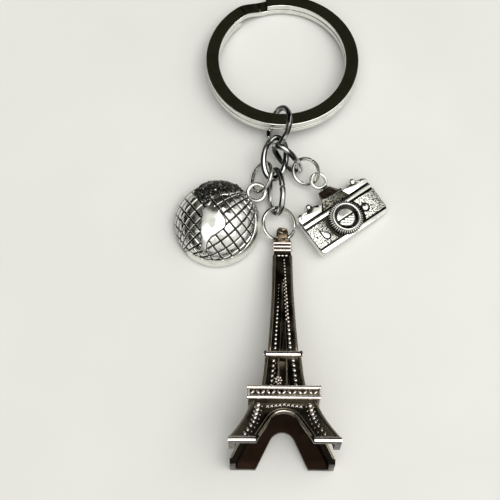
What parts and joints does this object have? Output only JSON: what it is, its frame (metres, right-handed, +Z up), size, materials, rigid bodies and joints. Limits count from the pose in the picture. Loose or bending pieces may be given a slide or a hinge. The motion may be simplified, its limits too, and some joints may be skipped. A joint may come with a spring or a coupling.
{
  "type": "souvenir keychain",
  "caption": "Split key ring with a branching wire chain that carries a lattice tower, a half globe and a camera charm.",
  "frame": {"origin": "on the table, under the middle of the object's bounding box", "axes": "+Z up from the table; +Y along the chain, from the tower toward the key ring; +X toward the camera's side"},
  "size_m": [0.042, 0.097, 0.0189],
  "materials": {
    "chrome": "bright nickel plating, mirror smooth",
    "link_steel": "dark nickel plated wire, glossy",
    "silver_wire": "silver plated wire, glossy",
    "antique_silver": "cast metal in antique silver, dark in the recesses, polished on the high spots",
    "gunmetal": "dark gunmetal plating, glossy, bright on worn edges"
  },
  "bodies": {
    "key_ring": {"key_ring": "chrome"},
    "ring_link": {"ring_link": "link_steel"},
    "branch_link": {"branch_link": "link_steel"},
    "tower_link": {"tower_link": "link_steel"},
    "tower_jump_ring": {"tower_jump_ring": "silver_wire"},
    "tower_charm": {"tower_charm": "gunmetal"},
    "camera_link": {"camera_link": "link_steel"},
    "camera_jump_ring": {"camera_jump_ring": "silver_wire"},
    "camera_charm": {"camera_charm": "antique_silver"},
    "globe_jump_ring": {"globe_jump_ring": "silver_wire"},
    "globe_charm": {"globe_charm": "antique_silver"}
  },
  "joints": [
    {"name": "ring_link_round_key_ring", "type": "hinge", "parent": "key_ring", "child": "ring_link", "pos_m": [0.00064, 0.03295, 0.00162], "axis": [0, 0.1045, 0.9945], "continuous": true},
    {"name": "branch_link_on_ring_link", "type": "hinge", "parent": "ring_link", "child": "branch_link", "pos_m": [-0.00062, 0.01416, 0.00465], "axis": [-0.5689, 0.0684, -0.8196], "range_deg": [-50, 70]},
    {"name": "tower_link_on_branch_link", "type": "hinge", "parent": "branch_link", "child": "tower_link", "pos_m": [-0.00105, 0.00756, 0.00377], "axis": [-1, 0, 0], "range_deg": [-16, 7]},
    {"name": "tower_jump_ring_on_link", "type": "hinge", "parent": "tower_link", "child": "tower_jump_ring", "pos_m": [-0.0006, 0.00069, 0.00251], "axis": [-0.5334, 0.0462, -0.8446], "range_deg": [-40, 8]},
    {"name": "tower_charm_on_jump_ring", "type": "hinge", "parent": "tower_jump_ring", "child": "tower_charm", "pos_m": [0.0003, -0.00416, 0.0019], "axis": [-1, 0, 0], "range_deg": [-110, 110]},
    {"name": "camera_link_on_branch_link", "type": "hinge", "parent": "branch_link", "child": "camera_link", "pos_m": [0.00114, 0.01144, 0.00354], "axis": [-0.1422, -0.9848, -0.0995], "range_deg": [-15, 12]},
    {"name": "camera_jump_ring_on_link", "type": "hinge", "parent": "camera_link", "child": "camera_jump_ring", "pos_m": [0.00398, 0.00974, 0.0032], "axis": [-0.0374, 0.12, 0.9921], "range_deg": [-6, 90]},
    {"name": "camera_charm_on_jump_ring", "type": "hinge", "parent": "camera_jump_ring", "child": "camera_charm", "pos_m": [0.00721, 0.00766, 0.00297], "axis": [0.486, 0.5602, 0.6709], "range_deg": [-20, 110]},
    {"name": "globe_jump_ring_on_branch_link", "type": "hinge", "parent": "branch_link", "child": "globe_jump_ring", "pos_m": [-0.00258, 0.00799, 0.00443], "axis": [-0.9806, 0.1961, 0], "range_deg": [-7, 12]},
    {"name": "globe_charm_on_jump_ring", "type": "hinge", "parent": "globe_jump_ring", "child": "globe_charm", "pos_m": [-0.00425, 0.00519, 0.00268], "axis": [0.6222, -0.7828, 0], "range_deg": [-48, 10]}
  ]
}
